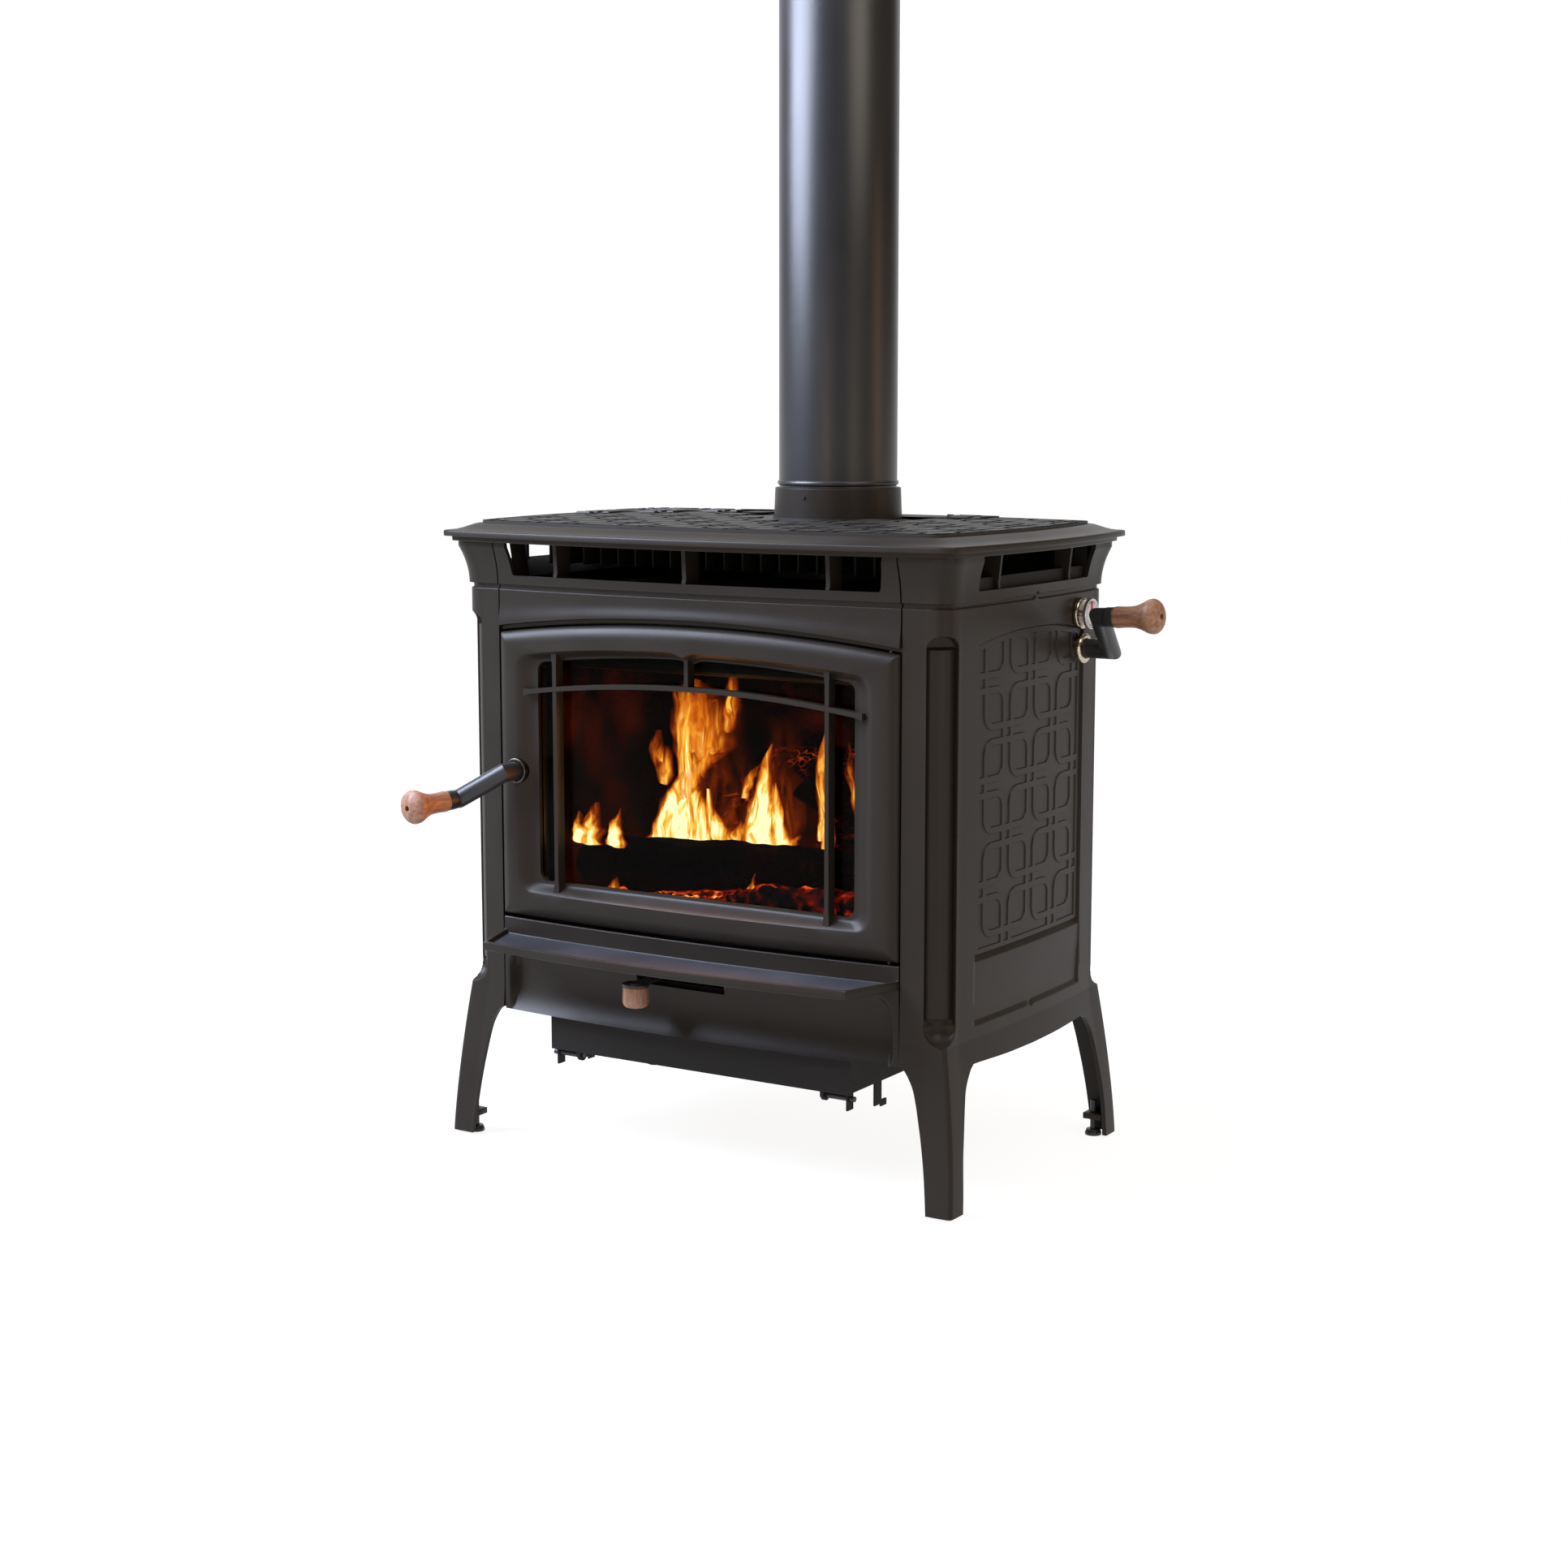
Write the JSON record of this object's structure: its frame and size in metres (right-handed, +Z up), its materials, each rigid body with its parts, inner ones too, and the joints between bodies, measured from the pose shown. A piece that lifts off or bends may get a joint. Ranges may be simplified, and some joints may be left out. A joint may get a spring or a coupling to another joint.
{
  "type": "wood burning stove",
  "caption": "Free-standing cast-iron wood stove: bowed front, hinged arched glass door with cranked walnut handle, splayed legs, ash lip, rear-set top flue pipe.",
  "frame": {"origin": "on the floor, at the middle of the rectangle that the levelling feet make", "axes": "+Z up; -Y out of the glass door, towards the room; +X to the right of someone facing the door"},
  "size_m": [0.8792, 0.6048, 1.5],
  "materials": {
    "enamel": "satin dark charcoal enamel over iron, fine orange-peel grain",
    "black_iron": "matt black",
    "black_steel": "satin black",
    "nickel": "polished, heat tinted",
    "walnut": "oiled, open grain",
    "ceramic_glass": "clear ceramic glass, slightly smoked",
    "firebrick": "rough fired clay",
    "gasket_rope": "woven glass-fibre rope",
    "charred_wood": "charred bark",
    "embers": "glowing coals",
    "dial_face": "printed dial",
    "red_pointer": "satin red"
  },
  "bodies": {
    "stove": {"left_side_casting": "enamel", "right_side_casting": "enamel", "upper_front_panel": "enamel", "top_plate": "enamel", "flue_collar": "enamel", "flue_pipe": "enamel", "ash_lip": "enamel", "lower_valance": "enamel", "rear_panel": "black_iron", "convection_fins": "black_iron", "firebox_front": "black_iron", "firebox_shell": "black_iron", "bottom_plate": "black_iron", "ash_housing": "black_iron", "collar_screw": "black_steel", "air_tube_front": "black_steel", "air_tube_middle": "black_steel", "air_tube_rear": "black_steel", "air_wash_deflector": "black_steel", "hinge_pin_lower": "black_steel", "hinge_pin_upper": "black_steel", "latch_keeper": "black_steel", "ash_pan": "black_steel", "ash_hinge_pin_left": "black_steel", "ash_hinge_pin_right": "black_steel", "bypass_bush": "nickel", "gauge_bush": "nickel", "brick_floor": "firebrick", "brick_left": "firebrick", "brick_right": "firebrick", "brick_rear": "firebrick", "smoke_baffle": "firebrick", "log_front": "charred_wood", "log_rear": "charred_wood", "log_top": "charred_wood", "ember_bed": "embers", "gauge_dial": "dial_face"},
    "door": {"door_frame": "enamel", "door_glass": "ceramic_glass", "glass_retainer": "black_steel", "door_gasket": "gasket_rope", "handle_bush": "nickel"},
    "door_handle": {"handle_crank": "black_steel", "handle_ferrule": "black_steel", "handle_grip": "walnut", "latch_cam": "black_steel"},
    "air_control": {"air_lever": "black_steel", "air_knob": "walnut", "air_shutter": "black_steel"},
    "bypass_damper": {"bypass_crank": "black_steel", "bypass_ferrule": "black_steel", "bypass_grip": "walnut", "bypass_flap": "black_iron"},
    "gauge_pointer": {"gauge_needle": "red_pointer"},
    "ash_box_door": {"ash_door": "black_iron"},
    "foot_fl": {"foot_front_left": "black_steel"},
    "foot_fr": {"foot_front_right": "black_steel"},
    "foot_rl": {"foot_rear_left": "black_steel"},
    "foot_rr": {"foot_rear_right": "black_steel"}
  },
  "joints": [
    {"name": "door_hinge", "type": "hinge", "parent": "stove", "child": "door", "pos_m": [0.273, -0.2045, 0.48], "axis": [0, 0, 1], "range_deg": [0, 95]},
    {"name": "door_handle_turn", "type": "hinge", "parent": "door", "child": "door_handle", "pos_m": [-0.2593, -0.2235, 0.4836], "axis": [0, 1, 0], "range_deg": [0, 90]},
    {"name": "air_slide", "type": "slide", "parent": "stove", "child": "air_control", "axis": [1, 0, 0], "range_m": [-0.022, 0.088]},
    {"name": "bypass_turn", "type": "hinge", "parent": "stove", "child": "bypass_damper", "pos_m": [0.3542, 0.1285, 0.6413], "axis": [1, 0, 0], "range_deg": [0, 80]},
    {"name": "gauge_pointer_turn", "type": "hinge", "parent": "stove", "child": "gauge_pointer", "pos_m": [0.3542, 0.1225, 0.685], "axis": [1, 0, 0], "range_deg": [-240, 0]},
    {"name": "ash_door_hinge", "type": "hinge", "parent": "stove", "child": "ash_box_door", "pos_m": [0, -0.196, 0.1205], "axis": [1, 0, 0], "range_deg": [0, 90]},
    {"name": "foot_front_left_level", "type": "slide", "parent": "stove", "child": "foot_fl", "axis": [0, 0, -1], "range_m": [0, 0.012]},
    {"name": "foot_front_right_level", "type": "slide", "parent": "stove", "child": "foot_fr", "axis": [0, 0, -1], "range_m": [0, 0.012]},
    {"name": "foot_rear_left_level", "type": "slide", "parent": "stove", "child": "foot_rl", "axis": [0, 0, -1], "range_m": [0, 0.012]},
    {"name": "foot_rear_right_level", "type": "slide", "parent": "stove", "child": "foot_rr", "axis": [0, 0, -1], "range_m": [0, 0.012]}
  ]
}
